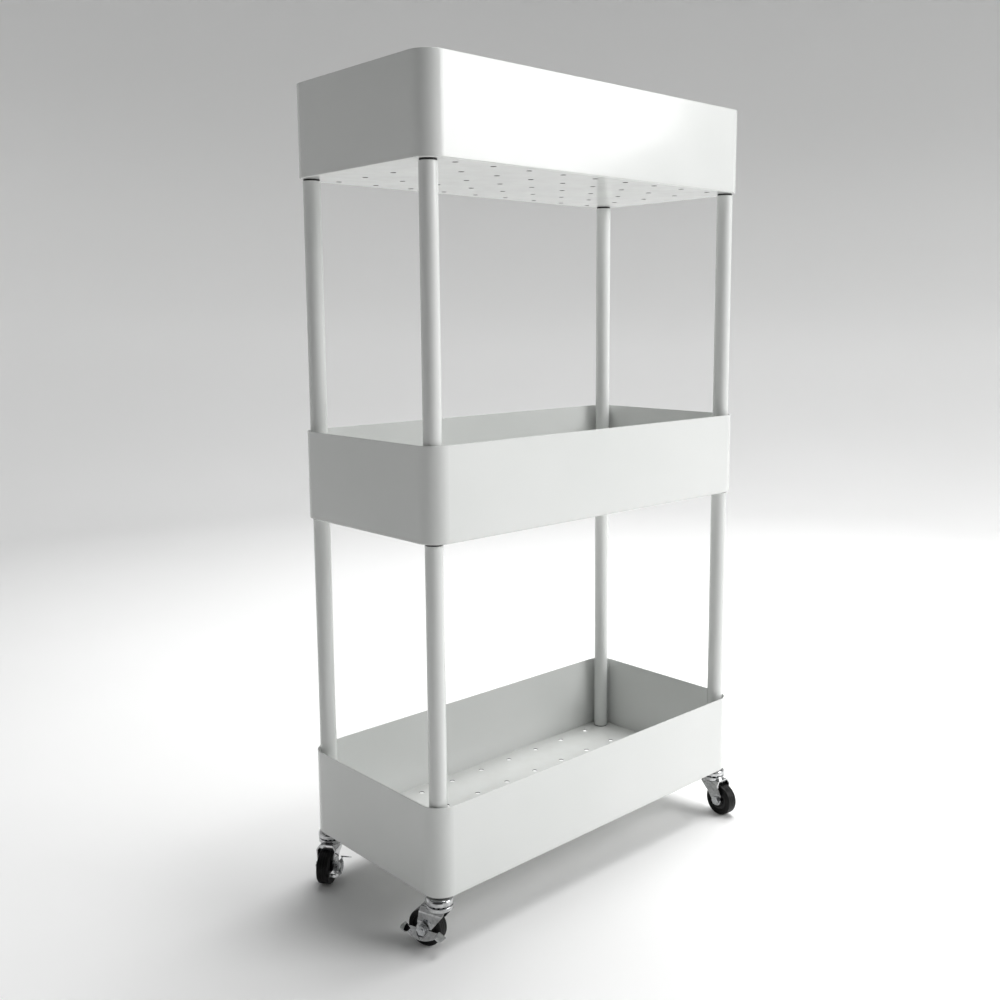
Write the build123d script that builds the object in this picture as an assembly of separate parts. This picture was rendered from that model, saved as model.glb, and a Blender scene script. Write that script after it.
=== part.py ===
"""Rolling pantry cart: three perforated steel trays on round corner posts and four swivel casters.

Units are millimetres. +X runs along the long side, +Y to the back, +Z up.
The origin is on the floor under the middle of the trays.
"""
from build123d import *
import math
import os

# ---- trays -------------------------------------------------------------------------------
TRAY_LENGTH = 500.0
TRAY_DEPTH = 234.0
TRAY_HEIGHT = 98.5
SHEET = 1.0                     # steel sheet thickness
TRAY_CORNER = 22.5              # outside radius of the upright corners
BEND = 0.4                      # inside radius between floor and wall
RIM_ROUND = 0.3
CASTER_HEIGHT = 60.0            # floor to the underside of the bottom tray
TIER_PITCH = 372.0              # underside of one tray to the underside of the next
DRAIN_PITCH = 50.0
DRAIN_COLUMNS = 9
DRAIN_ROWS = 5
DRAIN_RADIUS = 3.25

# ---- posts and the fasteners inside them ----------------------------------------------------
POST_RADIUS = 9.5
POST_WALL = 1.0
POST_X = TRAY_LENGTH / 2 - 15.2
POST_Y = TRAY_DEPTH / 2 - 15.8
POST_EDGE = 0.4                 # small rounding of a post's ends
FOOT_FLANGE = 1.0               # black plug flange under a post
HEAD_FLANGE = 2.0               # black plug flange between a post and the tray above it
FOOT_FLANGE_RADIUS = 9.0
HEAD_FLANGE_RADIUS = 8.8
PLUG_LENGTH = 16.0              # barrel of the plug inside the tube
PLUG_SLACK = 0.05               # radial gap between plug and tube
BUSH_RADIUS = 5.5               # threaded steel bush moulded into the plug
THREAD_RADIUS = 4.0             # M8
THREAD_SLACK = 0.02
FLOOR_HOLE_RADIUS = 4.25
THREAD_REACH = 13.0             # how far a thread runs into a bush
SCREW_HEAD_RADIUS = 6.5
SCREW_HEAD_HEIGHT = 4.4
SCREW_HEAD_ROUND = 1.8
SCREW_SOCKET_FLATS = 5.0
SCREW_SOCKET_DEPTH = 2.6
WASHER_RADIUS = 8.0
WASHER_THICKNESS = 1.2

# ---- casters -----------------------------------------------------------------------------------
WHEEL_RADIUS = 20.0
WHEEL_WIDTH = 14.0
TRAIL = 15.5                    # swivel axis to wheel axis
CROWN_TOP = 46.4                # top of the fork's flat crown
FORK_SHEET = 1.4
FORK_INSIDE_AXLE = 15.6         # between the legs at the axle
FORK_INSIDE_SHOULDER = 21.0     # between the legs where the shoulders slope in
FORK_INSIDE_CROWN = 14.5
FORK_BEND_HEIGHT = 28.5         # where the legs begin to splay
SHOULDER_HEIGHT = 40.0
FORK_BEND = 1.6                 # inside radius of the fork's bends
LEG_END_RADIUS = 7.0
LEG_STRAIGHT = 9.0              # upright length of a leg's back edge above the axle
CROWN_FRONT = -11.0             # ends of the crown, measured from the swivel axis
CROWN_BACK = 18.0
SHOULDER_FRONT = -9.5           # ends of the shoulders
SHOULDER_BACK = 19.0
RACE_RADIUS = 14.5
RACE_TOP = 49.3
RACE_ROUND = 1.0
RACE_HOLLOW_RADIUS = 9.9        # room under the race for the kingpin's head
RACE_SKIN = 2.2                 # race thickness over that room
BALL_RADIUS = 1.6
BALL_CIRCLE = 11.4
BALL_HEIGHT = 50.4
BALL_COUNT = 14
BALL_SLACK = 0.1
CAP_RADIUS = 15.0
CAP_BOTTOM = 51.5
CAP_TOP = 58.0
CAP_ROUND = 4.2
CAP_LIP = (1.2, 1.0)            # thickness and depth of the cap's rim
CAP_HOLLOW_RADIUS = 8.4
CAP_SKIN = 1.2
COLLAR_FLATS = 14.0             # hex collar of the stem, against the tray
KINGPIN_HEAD_RADIUS = 7.0
KINGPIN_HEAD_HEIGHT = 2.8
KINGPIN_HEAD_ROUND = 1.2
RUNNING = 0.06                  # radial clearance of a running fit
AXLE_RADIUS = 3.0
AXLE_POINT = 0.8                # bolt end beyond the nut
SLEEVE_RADIUS = 4.0
SIDE_GAP = 0.1                  # axial gap beside a turning piece
CORE_RADIUS = 12.6
CORE_SET_BACK = 0.8             # hub face inside the tyre face
CORE_RIM = 2.6
CORE_RECESS = 3.2
CORE_BOSS_RADIUS = 6.4
CORE_BOSS_PROUD = 0.4
TYRE_ROUND = 1.6
TREAD_GROOVE = 0.7              # width of each fine groove round the tread
TREAD_GROOVE_DEPTH = 0.4
TREAD_GROOVE_PITCH = 3.2
TYRE_STEP = (2.4, 0.5)          # width and depth of the step beside the hub
HEX_FLATS = 10.0
HEX_THICKNESS = 3.4
HEX_CHAMFER_RADIUS = 5.5

# ---- side brake ----------------------------------------------------------------------------------
LEVER_SHEET = 1.2
LEVER_HUB_RADIUS = 7.6
NUT_ROOM_RADIUS = 6.4           # opening in the flared blade round the nut
ARM_HEIGHT = 4.0
BLADE_HALF_WIDTH = 19.0         # fan-shaped blade under the hub
BLADE_SIDE_DEPTH = 4.5
BLADE_DEPTH = 11.5
BLADE_FLARE = 32.0              # outward swing of the blade from upright
RIB_SIDES = (15.0, 11.5, 11.5)  # raised triangular rib on the blade
RIB_INNER_SIDES = (10.6, 8.1, 8.1)
RIB_HEIGHT = 0.6
RIB_CENTRE = 6.6                # below the hub's centre
PADS = (-24.0, 18.5)            # middle of each foot pad, along X from the axle
PAD_LENGTH = 11.5               # foot pad, measured outwards from the plate
PAD_WIDTH = 9.4
PAD_CORNER = 4.2
PAD_TILT = 28.0

# Corner name: side along X, side along Y, direction the wheel trails in, has a brake
CASTERS = {
    "front_left": (-1, -1, 108.5, True),
    "back_left": (-1, 1, 216.0, True),
    "front_right": (1, -1, 264.0, False),
    "back_right": (1, 1, 47.0, False),
}
TRAYS = {
    "bottom": CASTER_HEIGHT,
    "middle": CASTER_HEIGHT + TIER_PITCH,
    "top": CASTER_HEIGHT + 2 * TIER_PITCH,
}


def save(shape, node):
    export_step(shape, f"parts/{node}.step")


def group(shapes):
    return Compound(children=list(shapes))


def disc(radius, low, high):
    return Pos(0, 0, low) * extrude(Circle(radius), high - low)


def ring(outer, inner, low, high):
    return disc(outer, low, high) - disc(inner, low, high)


def prism(flats, low, high):
    """Upright hexagonal prism, given the distance across its flats."""
    return Pos(0, 0, low) * extrude(RegularPolygon(flats / 2, 6, major_radius=False), high - low)


def corner_places(height=0.0):
    return [Pos(sx * POST_X, sy * POST_Y, height) for sx, sy, _, _ in CASTERS.values()]


def side_plate(face, near, thickness):
    """Extrude a face drawn as (along X, up Z) into a plate from y = near outwards."""
    return Pos(0, near + thickness, 0) * extrude(Plane.XZ * face, thickness)


# ---- trays -----------------------------------------------------------------------------------------
def rounded_block(inset, low, high, bend):
    """Tray-shaped block, its upright corners and its floor edge rounded."""
    outline = RectangleRounded(TRAY_LENGTH - 2 * inset, TRAY_DEPTH - 2 * inset, TRAY_CORNER - inset)
    block = Pos(0, 0, low) * extrude(outline, high - low)
    return fillet(block.edges().group_by(Axis.Z)[0], bend)


def tray(underside):
    pan = rounded_block(0, 0, TRAY_HEIGHT, BEND + SHEET)
    pan -= rounded_block(SHEET, SHEET, TRAY_HEIGHT + SHEET, BEND)
    pan = fillet(pan.edges().group_by(Axis.Z)[-1], RIM_ROUND)
    drain = disc(DRAIN_RADIUS, -SHEET, 2 * SHEET)
    pan -= [place * drain for place in GridLocations(DRAIN_PITCH, DRAIN_PITCH, DRAIN_COLUMNS, DRAIN_ROWS)]
    screw_hole = disc(FLOOR_HOLE_RADIUS, -SHEET, 2 * SHEET)
    pan -= [place * screw_hole for place in corner_places()]
    return Pos(0, 0, underside) * pan


# ---- posts ------------------------------------------------------------------------------------------
def post_span(lower_tray):
    """Lowest and highest level of the tube that stands in a tray."""
    low = lower_tray + SHEET + FOOT_FLANGE
    high = lower_tray + TIER_PITCH - HEAD_FLANGE
    return low, high


def post(lower_tray):
    low, high = post_span(lower_tray)
    tube = ring(POST_RADIUS, POST_RADIUS - POST_WALL, low, high)
    circles = tube.edges().filter_by(GeomType.CIRCLE)
    outer_edges = [e for e in circles if e.radius > POST_RADIUS - POST_WALL / 2]
    return fillet(outer_edges, POST_EDGE)


def plug(face, flange, flange_radius, upward):
    """Black end plug: a flange on the tube's end and a barrel inside the tube."""
    step = 1 if upward else -1
    levels = sorted((face, face + step * flange))
    barrel = sorted((face + step * flange, face + step * (flange + PLUG_LENGTH)))
    body = disc(flange_radius, *levels) + disc(POST_RADIUS - POST_WALL - PLUG_SLACK, *barrel)
    return body - disc(BUSH_RADIUS, min(levels[0], barrel[0]), max(levels[1], barrel[1]))


def bush(face, flange, upward):
    step = 1 if upward else -1
    levels = sorted((face, face + step * (flange + PLUG_LENGTH)))
    return ring(BUSH_RADIUS - THREAD_SLACK, THREAD_RADIUS + THREAD_SLACK, *levels)


def post_ends(lower_tray):
    """Plugs and bushes of the four posts that stand in one tray."""
    foot = lower_tray + SHEET
    head = lower_tray + TIER_PITCH
    plugs = [
        plug(foot, FOOT_FLANGE, FOOT_FLANGE_RADIUS, True),
        plug(head, HEAD_FLANGE, HEAD_FLANGE_RADIUS, False),
    ]
    bushes = [bush(foot, FOOT_FLANGE, True), bush(head, HEAD_FLANGE, False)]
    return (group(place * p for place in corner_places() for p in plugs),
            group(place * b for place in corner_places() for b in bushes))


def middle_stud():
    floor = TRAYS["middle"]
    return disc(THREAD_RADIUS, floor - THREAD_REACH, floor + SHEET + THREAD_REACH)


def top_screw():
    seat = TRAYS["top"] + SHEET + WASHER_THICKNESS
    top = seat + SCREW_HEAD_HEIGHT
    head = disc(SCREW_HEAD_RADIUS, seat, top)
    head = fillet(head.edges().group_by(Axis.Z)[-1], SCREW_HEAD_ROUND)
    socket = prism(SCREW_SOCKET_FLATS, top - SCREW_SOCKET_DEPTH, top + SCREW_SOCKET_DEPTH)
    return head + disc(THREAD_RADIUS, TRAYS["top"] - THREAD_REACH, seat) - socket


def top_washer():
    seat = TRAYS["top"] + SHEET
    return ring(WASHER_RADIUS, FLOOR_HOLE_RADIUS, seat, seat + WASHER_THICKNESS)


# ---- caster, built with its swivel axis on Z and its wheel trailing along +X -------------------------
def stem():
    """Kingpin, hex collar and threaded stem in one turned and riveted piece."""
    head_top = RACE_TOP - RACE_SKIN - SIDE_GAP
    head = disc(KINGPIN_HEAD_RADIUS, head_top - KINGPIN_HEAD_HEIGHT, head_top)
    head = fillet(head.edges().group_by(Axis.Z)[0], KINGPIN_HEAD_ROUND)
    shank = disc(THREAD_RADIUS, head_top, CASTER_HEIGHT + SHEET + THREAD_REACH)
    return head + shank + prism(COLLAR_FLATS, CAP_TOP, CASTER_HEIGHT)


def ball_groove():
    return Pos(0, 0, BALL_HEIGHT) * Torus(BALL_CIRCLE, BALL_RADIUS + BALL_SLACK)


def race_cap():
    """Pressed upper race, fixed to the stem."""
    lip, lip_depth = CAP_LIP
    body = disc(CAP_RADIUS, CAP_BOTTOM, CAP_TOP)
    body = fillet(body.edges().group_by(Axis.Z)[-1], CAP_ROUND)
    body -= disc(CAP_RADIUS - lip, CAP_BOTTOM, CAP_BOTTOM + lip_depth)
    body -= disc(CAP_HOLLOW_RADIUS, CAP_BOTTOM, CAP_TOP - CAP_SKIN)
    body -= disc(THREAD_RADIUS + THREAD_SLACK, CAP_BOTTOM, CAP_TOP)
    return body - ball_groove()


def balls():
    one = Pos(BALL_CIRCLE, 0, BALL_HEIGHT) * Sphere(BALL_RADIUS)
    return [Rot(0, 0, i * 360 / BALL_COUNT) * one for i in range(BALL_COUNT)]


def channel_face():
    """Inside of the fork's cross-section, as (across Y, up Z)."""
    right = [
        (FORK_INSIDE_AXLE / 2, 0),
        (FORK_INSIDE_AXLE / 2, FORK_BEND_HEIGHT),
        (FORK_INSIDE_SHOULDER / 2, SHOULDER_HEIGHT),
        (FORK_INSIDE_CROWN / 2, CROWN_TOP - FORK_SHEET),
    ]
    points = right + [(-y, z) for y, z in reversed(right)]
    face = make_face(Polyline(*points, close=True))
    bends = face.vertices().filter_by(lambda corner: corner.Y > FORK_BEND_HEIGHT + 1)
    return fillet(bends, FORK_BEND)


def leg_face():
    """Side view of the fork, as (along X, up Z)."""
    front = (SHOULDER_FRONT, SHOULDER_HEIGHT)
    to_front = math.atan2(front[1] - WHEEL_RADIUS, front[0] - TRAIL)
    reach = math.hypot(front[0] - TRAIL, front[1] - WHEEL_RADIUS)
    touch = to_front + math.acos(LEG_END_RADIUS / reach)
    tangent = (TRAIL + LEG_END_RADIUS * math.cos(touch), WHEEL_RADIUS + LEG_END_RADIUS * math.sin(touch))
    back = (TRAIL + LEG_END_RADIUS, WHEEL_RADIUS)
    back_top = (back[0], back[1] + LEG_STRAIGHT)
    lowest = (TRAIL, WHEEL_RADIUS - LEG_END_RADIUS)
    edges = [
        Line((CROWN_FRONT, CROWN_TOP), (CROWN_BACK, CROWN_TOP)),
        ThreePointArc((CROWN_BACK, CROWN_TOP), (SHOULDER_BACK, SHOULDER_HEIGHT), back_top),
        Line(back_top, back),
        ThreePointArc(back, lowest, tangent),
        Line(tangent, front),
        Line(front, (CROWN_FRONT, CROWN_TOP)),
    ]
    return make_face(edges)


def fork():
    length = 3 * WHEEL_RADIUS
    inside = channel_face()
    section = offset(inside, FORK_SHEET, kind=Kind.INTERSECTION) - inside
    channel = extrude(Plane.YZ * section, length / 2, both=True)
    body = channel & side_plate(leg_face(), -2 * WHEEL_WIDTH, 4 * WHEEL_WIDTH)
    race = disc(RACE_RADIUS, CROWN_TOP - FORK_SHEET, RACE_TOP)
    body += fillet(race.edges().group_by(Axis.Z)[-1], RACE_ROUND)
    body -= disc(RACE_HOLLOW_RADIUS, CROWN_TOP - 2 * FORK_SHEET, RACE_TOP - RACE_SKIN)
    body -= disc(THREAD_RADIUS + RUNNING, CROWN_TOP - 2 * FORK_SHEET, RACE_TOP)
    body -= ball_groove()
    hole = Pos(TRAIL, 0, WHEEL_RADIUS) * Rot(90, 0, 0) * Cylinder(AXLE_RADIUS + RUNNING, 4 * WHEEL_WIDTH)
    return body - hole


def across(shape):
    """Turn a piece built about Z onto the wheel's axis, its +Z end towards +Y."""
    return Pos(TRAIL, 0, WHEEL_RADIUS) * Rot(-90, 0, 0) * shape


def nut_seat(braked):
    seat = FORK_INSIDE_AXLE / 2 + FORK_SHEET
    return seat + LEVER_SHEET + 2 * SIDE_GAP if braked else seat


def hexagon(low, high):
    """Nut or bolt head with its corners turned down."""
    return prism(HEX_FLATS, low, high) & disc(HEX_CHAMFER_RADIUS, low, high)


def axle_bolt(braked):
    head_seat = -FORK_INSIDE_AXLE / 2 - FORK_SHEET
    shank = disc(AXLE_RADIUS, head_seat, nut_seat(braked) + HEX_THICKNESS + AXLE_POINT)
    return across(hexagon(head_seat - HEX_THICKNESS, head_seat) + shank)


def axle_nut(braked):
    seat = nut_seat(braked)
    top = seat + HEX_THICKNESS
    return across(hexagon(seat, top) - disc(AXLE_RADIUS + THREAD_SLACK, seat, top))


def axle_sleeve():
    half = FORK_INSIDE_AXLE / 2
    return across(ring(SLEEVE_RADIUS, AXLE_RADIUS + THREAD_SLACK, -half, half))


def wheel_core():
    """Hub with a boss, a thin web and a raised ring on each side."""
    half = WHEEL_WIDTH / 2
    body = disc(CORE_RADIUS, CORE_SET_BACK - half, half - CORE_SET_BACK)
    recess = ring(CORE_RADIUS - CORE_RIM, CORE_BOSS_RADIUS, half - CORE_RECESS, half)
    body -= [recess, mirror(recess, Plane.XY)]
    body += disc(CORE_BOSS_RADIUS, -half - CORE_BOSS_PROUD, half + CORE_BOSS_PROUD)
    return across(body - disc(SLEEVE_RADIUS + RUNNING, -WHEEL_WIDTH, WHEEL_WIDTH))


def tyre():
    half = WHEEL_WIDTH / 2
    step_width, step_depth = TYRE_STEP
    body = disc(WHEEL_RADIUS, -half, half)
    body = fillet(body.edges().filter_by(GeomType.CIRCLE), TYRE_ROUND)
    body -= disc(CORE_RADIUS + THREAD_SLACK, -half, half)
    groove = ring(WHEEL_RADIUS + 1, WHEEL_RADIUS - TREAD_GROOVE_DEPTH, -TREAD_GROOVE / 2, TREAD_GROOVE / 2)
    body -= [Pos(0, 0, i * TREAD_GROOVE_PITCH) * groove for i in (-1, 0, 1)]
    step = ring(CORE_RADIUS + step_width, CORE_RADIUS, half - step_depth, half)
    return across(body - [step, mirror(step, Plane.XY)])


def blade_face():
    """Fan under the lever's hub, as (along X, up Z)."""
    half, side, depth = BLADE_HALF_WIDTH, BLADE_SIDE_DEPTH, BLADE_DEPTH
    rim = ThreePointArc((-half, -side), (0, -depth), (half, -side))
    straight = Polyline((half, -side), (half, 0), (-half, 0), (-half, -side))
    return make_face([rim, *straight.edges()])


def blade():
    """Fan with a raised triangular rib, swung outwards about its top edge."""
    body = side_plate(blade_face(), 0, LEVER_SHEET)
    a, b, c = RIB_SIDES
    inner_a, inner_b, inner_c = RIB_INNER_SIDES
    rib_face = Triangle(a=a, b=b, c=c) - Triangle(a=inner_a, b=inner_b, c=inner_c)
    rib = side_plate(Pos(0, -RIB_CENTRE) * Rot(0, 0, 180) * rib_face, LEVER_SHEET, RIB_HEIGHT)
    body += rib & side_plate(blade_face(), 0, 3 * LEVER_SHEET)
    return Rot(BLADE_FLARE, 0, 0) * body


def foot_pad(middle):
    """Pad bent outwards from one arm of the lever, rounded at its free end."""
    outline = RectangleRounded(PAD_WIDTH, 2 * PAD_LENGTH, PAD_CORNER)
    outline &= Pos(0, PAD_LENGTH / 2) * Rectangle(PAD_WIDTH, PAD_LENGTH)
    pad = extrude(outline, LEVER_SHEET / 2, both=True)
    return Pos(middle, 0, 0) * Rot(0, -PAD_TILT, 0) * pad


def brake_lever():
    near = FORK_INSIDE_AXLE / 2 + FORK_SHEET + SIDE_GAP
    low, high = PADS
    arms = Pos((low + high) / 2, -ARM_HEIGHT / 2) * Rectangle(high - low, ARM_HEIGHT)
    body = side_plate(Circle(LEVER_HUB_RADIUS) + arms, near, LEVER_SHEET)
    body += [Pos(0, near, 0) * shape for shape in (blade(), foot_pad(low), foot_pad(high))]
    body = Pos(TRAIL, 0, WHEEL_RADIUS) * body
    body -= across(disc(NUT_ROOM_RADIUS, near + LEVER_SHEET, 2 * WHEEL_WIDTH))
    return body - across(disc(AXLE_RADIUS + RUNNING, 0, 2 * WHEEL_WIDTH))


# ---- build every node ------------------------------------------------------------------------------------
def save_frame():
    for name, underside in TRAYS.items():
        save(tray(underside), f"{name}_tray")
    for tier, lower_tray in (("lower", TRAYS["bottom"]), ("upper", TRAYS["middle"])):
        tube = post(lower_tray)
        for corner, place in zip(CASTERS, corner_places()):
            save(place * tube, f"{tier}_post_{corner}")
        plugs, bushes = post_ends(lower_tray)
        save(plugs, f"{tier}_post_plugs")
        save(bushes, f"{tier}_post_bushes")
    save(group(place * middle_stud() for place in corner_places()), "middle_tray_studs")
    save(group(place * top_screw() for place in corner_places()), "top_tray_screws")
    save(group(place * top_washer() for place in corner_places()), "top_tray_washers")


def save_casters():
    all_balls = []
    for corner, (sx, sy, heading, braked) in CASTERS.items():
        place = Pos(sx * POST_X, sy * POST_Y, 0) * Rot(0, 0, heading)
        pieces = {
            "caster_stem": stem(),
            "race_cap": race_cap(),
            "fork": fork(),
            "axle_bolt": axle_bolt(braked),
            "axle_nut": axle_nut(braked),
            "axle_sleeve": axle_sleeve(),
            "wheel_core": wheel_core(),
            "tyre": tyre(),
        }
        if braked:
            pieces["brake_lever"] = brake_lever()
        for name, piece in pieces.items():
            save(place * piece, f"{name}_{corner}")
        all_balls += [place * ball for ball in balls()]
    save(group(all_balls), "race_balls")


os.makedirs("parts", exist_ok=True)
save_frame()
save_casters()
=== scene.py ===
"""Looks, light and camera for the rolling pantry cart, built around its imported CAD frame. Metres."""

import math

import bmesh
import bpy
from mathutils import Matrix, Vector


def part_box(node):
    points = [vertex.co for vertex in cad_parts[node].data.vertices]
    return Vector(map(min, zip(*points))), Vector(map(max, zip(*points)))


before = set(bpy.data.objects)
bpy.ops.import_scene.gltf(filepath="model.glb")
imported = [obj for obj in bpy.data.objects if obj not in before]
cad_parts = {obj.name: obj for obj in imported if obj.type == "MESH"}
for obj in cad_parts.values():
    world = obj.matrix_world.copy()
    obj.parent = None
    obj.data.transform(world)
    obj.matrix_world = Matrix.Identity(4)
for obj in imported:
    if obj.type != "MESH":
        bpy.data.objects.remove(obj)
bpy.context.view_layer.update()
TRAYS = ("bottom_tray", "middle_tray", "top_tray")

# ---- camera --------------------------------------------------------------------------------
CAMERA_PLACE = Vector((-0.8953, -0.9266, 0.6529))
CAMERA_AZIMUTH = math.radians(42.53)      # from +Y towards +X
CAMERA_PITCH = math.radians(-7.87)
CAMERA_ROLL = math.radians(-0.39)
CAMERA_LENS = 38.85                       # mm, on a 36 mm sensor
CAMERA_SHIFT = (-0.00505, -0.0321)

# ---- studio --------------------------------------------------------------------------------
STUDIO_FLAT = 2.4                         # radius of the flat floor
STUDIO_COVE = 0.9                         # radius of the curve up into the wall
STUDIO_WALL = 2.6                         # height of the wall's top
STUDIO_INNER = 0.6                        # radius of the floor's inner ring of faces
STUDIO_COVE_STEPS = 16
STUDIO_SEGMENTS = 128
CURTAIN_RADIUS = 2.1                      # dark curtain behind the camera and to its left
CURTAIN_TURN = (176, 250)                 # degrees from +X
CURTAIN_HEIGHTS = (0.45, 2.6)
CURTAIN_STEPS = 24

# ---- light ---------------------------------------------------------------------------------
LIGHTS = (                                # name, place, aim, size, watts, spread in degrees
    ("key", (1.7, -2.4, 1.85), (0, 0, 0.4), (1.8, 1.8), 62.0, 180),
    ("overhead", (0.95, 0.2, 2.5), (0.4, 0.0, 0), (2.0, 2.0), 58.0, 145),
)
AIR_COLOUR = (0.95, 0.98, 1.0, 1.0)
AIR_STRENGTH = 0.14


# ---- node helpers --------------------------------------------------------------------------
class Shader:
    """A material's node tree with a Principled shader, and the few node patterns used here."""

    def __init__(self, name, **values):
        self.material = bpy.data.materials.new(name)
        self.material.use_nodes = True
        self.tree = self.material.node_tree
        self.bsdf = self.tree.nodes["Principled BSDF"]
        for key, value in values.items():
            self.bsdf.inputs[key.replace("_", " ")].default_value = value
        self.coords = self.tree.nodes.new("ShaderNodeTexCoord").outputs["Object"]

    def link(self, source, target):
        self.tree.links.new(source, target)

    def noise(self, scale, detail=2.0, roughness=0.5):
        """Noise of about 1/scale metres, in the object's own space."""
        node = self.tree.nodes.new("ShaderNodeTexNoise")
        node.inputs["Scale"].default_value = scale
        node.inputs["Detail"].default_value = detail
        node.inputs["Roughness"].default_value = roughness
        self.link(self.coords, node.inputs["Vector"])
        return node.outputs["Fac"]

    def remap(self, source, from_low, from_high, to_low=0.0, to_high=1.0):
        node = self.tree.nodes.new("ShaderNodeMapRange")
        limits = {"From Min": from_low, "From Max": from_high, "To Min": to_low, "To Max": to_high}
        for key, value in limits.items():
            node.inputs[key].default_value = value
        self.link(source, node.inputs["Value"])
        return node.outputs["Result"]

    def math(self, operation, first, second):
        node = self.tree.nodes.new("ShaderNodeMath")
        node.operation = operation
        for socket, value in zip(node.inputs, (first, second)):
            if isinstance(value, (int, float)):
                socket.default_value = value
            else:
                self.link(value, socket)
        return node.outputs["Value"]

    def mix(self, factor, first, second):
        """Colour mix; each colour is a tuple or a socket."""
        node = self.tree.nodes.new("ShaderNodeMix")
        node.data_type = "RGBA"
        self.link(factor, node.inputs["Factor"])
        for socket, value in ((node.inputs[6], first), (node.inputs[7], second)):
            if isinstance(value, tuple):
                socket.default_value = (*value, 1.0)
            else:
                self.link(value, socket)
        return node.outputs[2]

    def height(self):
        split = self.tree.nodes.new("ShaderNodeSeparateXYZ")
        self.link(self.coords, split.inputs[0])
        return split.outputs["Z"]

    def upright(self):
        """1 on faces that stand upright, 0 on level ones."""
        geometry = self.tree.nodes.new("ShaderNodeNewGeometry")
        split = self.tree.nodes.new("ShaderNodeSeparateXYZ")
        self.link(geometry.outputs["True Normal"], split.inputs[0])
        return self.remap(self.math("ABSOLUTE", split.outputs["Z"], 0.0), 0.3, 0.5, 1.0, 0.0)

    def colour(self, source):
        self.link(source, self.bsdf.inputs["Base Color"])

    def roughness(self, source):
        self.link(source, self.bsdf.inputs["Roughness"])

    def bump(self, *layers):
        """Stacked bumps, each (height socket, strength, distance in metres)."""
        normal = None
        for source, strength, distance in layers:
            node = self.tree.nodes.new("ShaderNodeBump")
            node.inputs["Strength"].default_value = strength
            node.inputs["Distance"].default_value = distance
            self.link(source, node.inputs["Height"])
            if normal is not None:
                self.link(normal, node.inputs["Normal"])
            normal = node.outputs["Normal"]
        self.link(normal, self.bsdf.inputs["Normal"])


# ---- materials -----------------------------------------------------------------------------
def powder_coat(name, floor=None, rim=None):
    """White satin powder coat: orange peel, slow tone changes, greyer on a rim, and painted shade in the
    crease.

    Upright faces below the floor's upper face are painted near black as painted shade: the walls of the
    holes in the floor, and with them the lowest edge of the outer walls.
    """
    s = Shader(name, Specular_IOR_Level=0.5, Coat_Weight=0.25, Coat_Roughness=0.08)
    tone = s.mix(s.remap(s.noise(5.0, 3.0), 0.35, 0.65), (0.69, 0.705, 0.69), (0.72, 0.73, 0.718))
    speck = s.remap(s.noise(420.0, 4.0, 0.7), 0.66, 0.74)
    tone = s.mix(s.math("MULTIPLY", speck, 0.16), tone, (0.62, 0.62, 0.60))
    if rim is not None:
        edge = s.remap(s.height(), rim - 0.0016, rim - 0.0002)
        worn = s.math("MULTIPLY", edge, s.remap(s.noise(160.0, 4.0), 0.40, 0.62, 0.12, 0.5))
        tone = s.mix(worn, tone, (0.55, 0.56, 0.55))
        # painted shade: the crease between floor and walls is greyed with a mottled strength, standing in
        # for the shade that falls there
        crease = s.remap(s.height(), floor + 0.0045, floor + 0.0005)
        crease_shade = s.math("MULTIPLY", crease, s.remap(s.noise(60.0, 3.0), 0.35, 0.7, 0.05, 0.3))
        tone = s.mix(crease_shade, tone, (0.60, 0.60, 0.57))
        # painted shade: upright faces below the floor's upper face are painted near black
        below_floor = s.remap(s.height(), floor, floor - 0.0002)
        tone = s.mix(s.math("MULTIPLY", below_floor, s.upright()), tone, (0.07, 0.07, 0.068))
    s.colour(tone)
    s.roughness(s.remap(s.noise(18.0, 4.0, 0.6), 0.3, 0.7, 0.17, 0.25))
    s.bump((s.noise(9.0, 1.0), 0.08, 0.0010), (s.noise(650.0, 2.0), 0.06, 0.00012))
    return s.material


def chrome():
    s = Shader("chrome", Metallic=1.0)
    s.colour(s.mix(s.remap(s.noise(240.0, 4.0), 0.35, 0.7), (0.62, 0.625, 0.63), (0.40, 0.405, 0.41)))
    s.roughness(s.remap(s.noise(130.0, 5.0, 0.65), 0.35, 0.7, 0.03, 0.13))
    s.bump((s.noise(160.0, 2.0), 0.16, 0.0004), (s.noise(1500.0, 2.0), 0.05, 0.00005))
    return s.material


def zinc():
    s = Shader("zinc", Metallic=1.0)
    s.colour(s.mix(s.remap(s.noise(300.0, 3.0), 0.3, 0.7), (0.70, 0.71, 0.73), (0.56, 0.57, 0.58)))
    s.roughness(s.remap(s.noise(500.0, 4.0, 0.6), 0.3, 0.7, 0.20, 0.38))
    s.bump((s.noise(1200.0, 3.0), 0.12, 0.0001))
    return s.material


def black_plastic(name, low, high):
    s = Shader(name, Specular_IOR_Level=0.5)
    s.colour(s.mix(s.remap(s.noise(90.0, 3.0), 0.3, 0.7), (0.005, 0.005, 0.005), (0.012, 0.012, 0.012)))
    s.roughness(s.remap(s.noise(260.0, 4.0, 0.6), 0.3, 0.7, low, high))
    s.bump((s.noise(1600.0, 2.0), 0.15, 0.00006))
    return s.material


def tyre_rubber():
    s = Shader("tyre_rubber", Specular_IOR_Level=0.2)
    dust = s.remap(s.noise(220.0, 5.0, 0.65), 0.45, 0.75, 0.0, 0.4)
    s.colour(s.mix(dust, (0.004, 0.004, 0.004), (0.022, 0.022, 0.021)))
    s.roughness(s.remap(s.noise(180.0, 4.0, 0.6), 0.3, 0.7, 0.30, 0.46))
    s.bump((s.noise(900.0, 3.0), 0.2, 0.0001), (s.noise(120.0, 2.0), 0.1, 0.0003))
    return s.material


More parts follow.
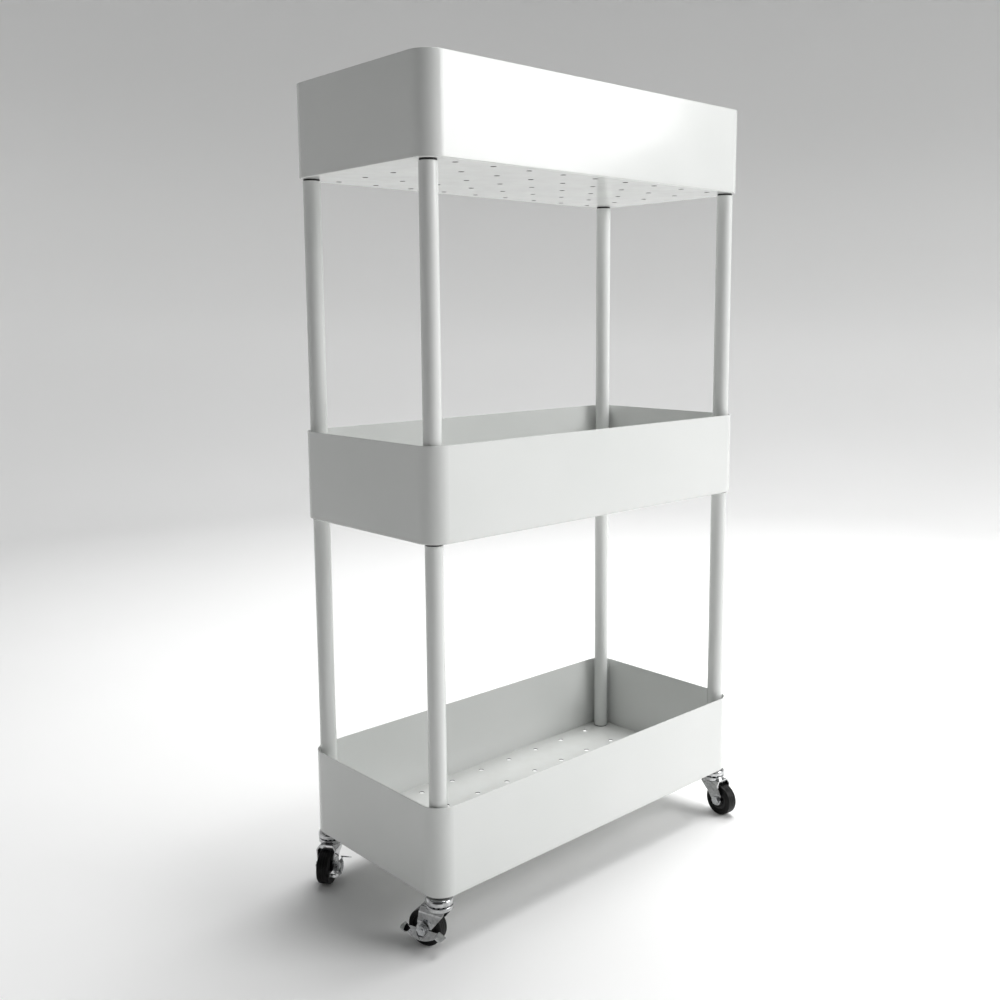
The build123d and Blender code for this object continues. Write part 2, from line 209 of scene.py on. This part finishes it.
def studio_paint():
    s = Shader("studio_paint", Specular_IOR_Level=0.25)
    floor = s.mix(s.remap(s.noise(1.6, 2.0), 0.3, 0.7), (0.89, 0.89, 0.885), (0.91, 0.91, 0.907))
    # painted shade: the cove and wall are painted darker as they rise, standing in for the wall getting
    # less light than the floor
    s.colour(s.mix(s.remap(s.height(), 0.0, STUDIO_COVE), floor, (0.78, 0.78, 0.775)))
    s.roughness(s.remap(s.noise(2.2, 3.0), 0.3, 0.7, 0.34, 0.40))
    return s.material


# ---- putting materials on the CAD nodes -----------------------------------------------------
def dress(node, material):
    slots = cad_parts[node].data.materials
    slots.clear()
    slots.append(material)


def dress_frame():
    for name in TRAYS:
        low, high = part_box(name)
        dress(name, powder_coat(f"powder_coat_{name}", floor=low.z + 0.001, rim=high.z))
    coat = powder_coat("powder_coat_posts")
    shiny = chrome()
    plated = zinc()
    looks = {
        "lower_post_": coat,
        "upper_post_": coat,
        "caster_stem_": shiny,
        "race_cap_": shiny,
        "fork_": shiny,
        "brake_lever_": shiny,
        "axle_": plated,
        "race_balls": plated,
        "middle_tray_studs": plated,
        "top_tray_screws": plated,
        "top_tray_washers": plated,
        "wheel_core_": black_plastic("hub_plastic", 0.28, 0.40),
        "tyre_": tyre_rubber(),
    }
    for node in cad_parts:
        for start, material in looks.items():
            if node.startswith(start):
                dress(node, material)
    for tier in ("lower", "upper"):
        dress(f"{tier}_post_bushes", plated)
        dress(f"{tier}_post_plugs", black_plastic(f"plug_plastic_{tier}", 0.5, 0.62))


# ---- studio ----------------------------------------------------------------------------------
def lathe(name, profile, segments):
    """Surface of revolution about Z from (radius, height) points."""
    mesh = bpy.data.meshes.new(name)
    bm = bmesh.new()
    rings = []
    for radius, height in profile:
        if radius < 1e-9:
            rings.append([bm.verts.new((0, 0, height))])
        else:
            turn = [2 * math.pi * i / segments for i in range(segments)]
            rings.append([bm.verts.new((radius * math.cos(a), radius * math.sin(a), height)) for a in turn])
    for low, high in zip(rings, rings[1:]):
        for i in range(segments):
            step = i + 1
            corners = [low[i % len(low)], low[step % len(low)], high[step % len(high)], high[i % len(high)]]
            face = bm.faces.new(list(dict.fromkeys(corners)))
            face.smooth = True
    bm.to_mesh(mesh)
    bm.free()
    piece = bpy.data.objects.new(name, mesh)
    bpy.context.scene.collection.objects.link(piece)
    return piece


def add_studio():
    profile = [(0.0, 0.0), (STUDIO_INNER, 0.0), (STUDIO_FLAT, 0.0)]
    for i in range(STUDIO_COVE_STEPS):
        turn = math.pi / 2 * (i + 1) / STUDIO_COVE_STEPS
        radius = STUDIO_FLAT + STUDIO_COVE * math.sin(turn)
        profile.append((radius, STUDIO_COVE * (1 - math.cos(turn))))
    profile.append((STUDIO_FLAT + STUDIO_COVE, STUDIO_WALL))
    studio = lathe("studio", profile, STUDIO_SEGMENTS)
    studio.data.materials.append(studio_paint())


def add_curtain():
    """Dark curved curtain that keeps the cart's -X side and the posts' near side in shade."""
    first, last = (math.radians(turn) for turn in CURTAIN_TURN)
    turns = [first + (last - first) * i / CURTAIN_STEPS for i in range(CURTAIN_STEPS + 1)]
    mesh = bpy.data.meshes.new("curtain")
    bm = bmesh.new()
    columns = []
    for turn in turns:
        x, y = CURTAIN_RADIUS * math.cos(turn), CURTAIN_RADIUS * math.sin(turn)
        columns.append([bm.verts.new((x, y, height)) for height in CURTAIN_HEIGHTS])
    for (a, b), (c, d) in zip(columns, columns[1:]):
        bm.faces.new((a, c, d, b)).smooth = True
    bm.to_mesh(mesh)
    bm.free()
    curtain = bpy.data.objects.new("curtain", mesh)
    bpy.context.scene.collection.objects.link(curtain)
    cloth = Shader("curtain_cloth", Roughness=0.9)
    cloth.colour(cloth.mix(cloth.remap(cloth.noise(6.0), 0.3, 0.7), (0.03, 0.03, 0.03), (0.04, 0.04, 0.04)))
    curtain.data.materials.append(cloth.material)


def add_area_light(name, place, aim, size, power, spread):
    data = bpy.data.lights.new(name, "AREA")
    data.shape = "RECTANGLE"
    data.size, data.size_y = size
    data.energy = power
    data.spread = math.radians(spread)
    light = bpy.data.objects.new(name, data)
    light.location = place
    light.rotation_euler = (Vector(aim) - Vector(place)).to_track_quat("-Z", "Y").to_euler()
    light.visible_camera = False
    bpy.context.scene.collection.objects.link(light)


def add_light():
    for light in LIGHTS:
        add_area_light(*light)
    world = bpy.data.worlds.new("studio_air")
    world.use_nodes = True
    air = world.node_tree.nodes["Background"]
    air.inputs["Color"].default_value = AIR_COLOUR
    air.inputs["Strength"].default_value = AIR_STRENGTH
    bpy.context.scene.world = world
    bpy.context.scene.view_settings.view_transform = "Standard"


# ---- camera -----------------------------------------------------------------------------------
def add_camera():
    data = bpy.data.cameras.new("camera")
    data.sensor_width = 36.0
    data.lens = CAMERA_LENS
    data.shift_x, data.shift_y = CAMERA_SHIFT
    camera = bpy.data.objects.new("camera", data)
    level = Matrix.Rotation(-CAMERA_AZIMUTH, 4, "Z") @ Matrix.Rotation(math.pi / 2 + CAMERA_PITCH, 4, "X")
    camera.matrix_world = Matrix.Translation(CAMERA_PLACE) @ level @ Matrix.Rotation(CAMERA_ROLL, 4, "Z")
    bpy.context.scene.collection.objects.link(camera)
    bpy.context.scene.camera = camera


add_camera()
dress_frame()
add_studio()
add_curtain()
add_light()
